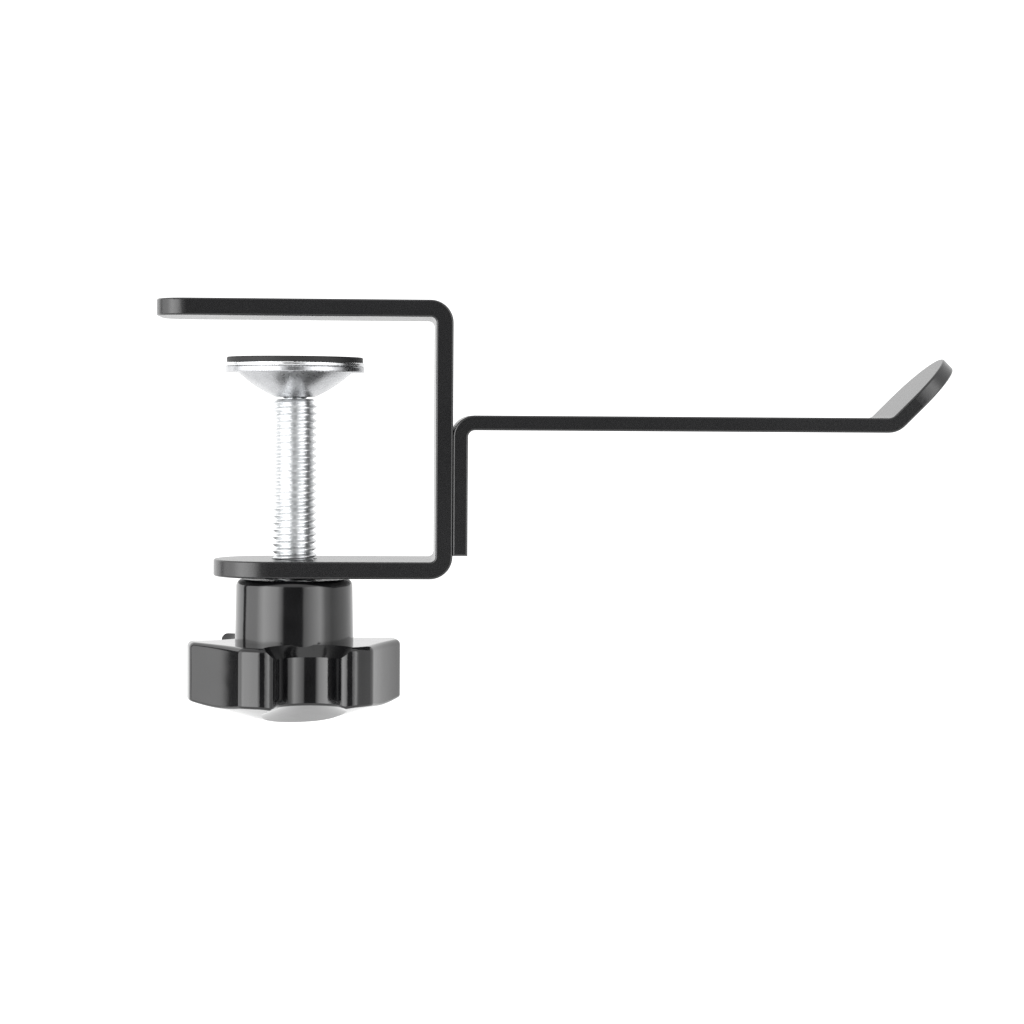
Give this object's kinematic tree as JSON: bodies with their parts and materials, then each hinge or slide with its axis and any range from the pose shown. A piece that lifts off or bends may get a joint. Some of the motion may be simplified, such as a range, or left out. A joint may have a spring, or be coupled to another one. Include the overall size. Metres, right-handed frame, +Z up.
{
  "type": "headphone hook",
  "caption": "Screw clamp that grips a desk edge, with a long flat arm and an upturned rounded tongue to hang headphones on.",
  "frame": {"origin": "on the underside of the upper jaw, which rests on the desk top, directly above the screw axis", "axes": "+Z up along the screw, +X along the hook arm towards its tongue, +Y across the strip"},
  "size_m": [0.1411, 0.0366, 0.0746],
  "materials": {
    "black_powder_coat": "satin black powder coat",
    "bare_steel": "plain steel",
    "bright_zinc": "bright zinc plate",
    "black_rubber": "matt",
    "glossy_black_plastic": "moulded, glossy",
    "insert_brass": "turned brass"
  },
  "bodies": {
    "frame": {"clamp_bracket": "black_powder_coat", "hook_arm": "black_powder_coat", "spot_welds": "bare_steel"},
    "screw_carrier": {"thrust_disc": "bare_steel"},
    "screw": {"clamp_screw": "bright_zinc", "knob_body": "glossy_black_plastic", "knob_insert": "insert_brass"},
    "pad": {"pad_shell": "bright_zinc", "pad_plate": "bright_zinc", "pad_rubber": "black_rubber"}
  },
  "joints": [
    {"name": "screw_travel", "type": "slide", "parent": "frame", "child": "screw_carrier", "axis": [0, 0, 1], "range_m": [-0.0281, 0.0004]},
    {"name": "screw_turn", "type": "hinge", "parent": "screw_carrier", "child": "screw", "pos_m": [0, 0, -0.045], "axis": [0, 0, 1], "range_deg": [-8090, 115]},
    {"name": "pad_tilt", "type": "hinge", "parent": "screw_carrier", "child": "pad", "pos_m": [0, 0, -0.01188], "axis": [0, 1, 0], "range_deg": [-4, 4]}
  ],
  "couplings": [
    {"joint": "screw_travel", "follows": "screw_turn", "m_per_rad": 0.00019894}
  ]
}
